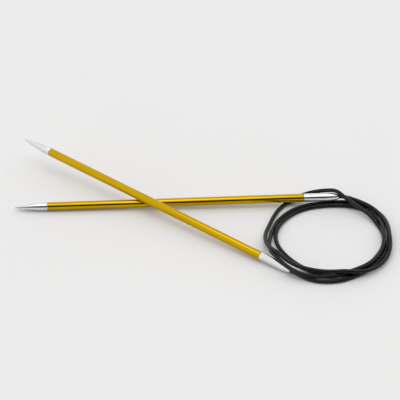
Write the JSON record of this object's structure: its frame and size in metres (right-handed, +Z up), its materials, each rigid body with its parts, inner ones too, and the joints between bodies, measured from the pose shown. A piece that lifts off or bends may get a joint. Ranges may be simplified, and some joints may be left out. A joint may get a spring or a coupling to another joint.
{
  "type": "circular knitting needle",
  "caption": "Fixed circular knitting needle: gold anodised metal needles with bright tapered points, joined by a thin black cable wound into a loose coil.",
  "frame": {"origin": "On the table, under the centre of the box round the two needles", "axes": "+X along needle B from its point to its cable end, +Z up from the table, +Y across, away from the side that the coil lies on"},
  "size_m": [0.1571, 0.0881, 0.0108],
  "materials": {
    "gold_anodised": "gold anodised, satin gloss",
    "nickel": "polished nickel plate on brass",
    "steel": "plain crimped sleeve",
    "cable_plastic": "black, smooth, slightly glossy"
  },
  "bodies": {
    "cable": {"cable_coil": "cable_plastic", "cable_lead_a": "cable_plastic", "cable_lead_b": "cable_plastic"},
    "cable_end_a": {"cable_tail_a": "cable_plastic", "cable_stop_a": "steel"},
    "needle_a": {"point_a": "nickel", "shaft_a": "gold_anodised", "ferrule_a": "nickel"},
    "cable_end_b": {"cable_tail_b": "cable_plastic", "cable_stop_b": "steel"},
    "needle_b": {"point_b": "nickel", "shaft_b": "gold_anodised", "ferrule_b": "nickel"}
  },
  "joints": [
    {"name": "needle_a_swing", "type": "hinge", "parent": "cable", "child": "cable_end_a", "pos_m": [0.04953, -0.04285, 0.00118], "axis": [0, 0, 1], "range_deg": [0, 30]},
    {"name": "needle_a_spin", "type": "hinge", "parent": "cable_end_a", "child": "needle_a", "pos_m": [0.0455, -0.0399, 0.00149], "axis": [0.8055, -0.5895, -0.0606], "continuous": true},
    {"name": "needle_b_swing", "type": "hinge", "parent": "cable", "child": "cable_end_b", "pos_m": [0.07333, 0.0044, 0.00394], "axis": [0, 0, 1], "range_deg": [-2, 0]},
    {"name": "needle_b_spin", "type": "hinge", "parent": "cable_end_b", "child": "needle_b", "pos_m": [0.06833, 0.0044, 0.00385], "axis": [0.9999, 0, 0.0165], "continuous": true}
  ]
}
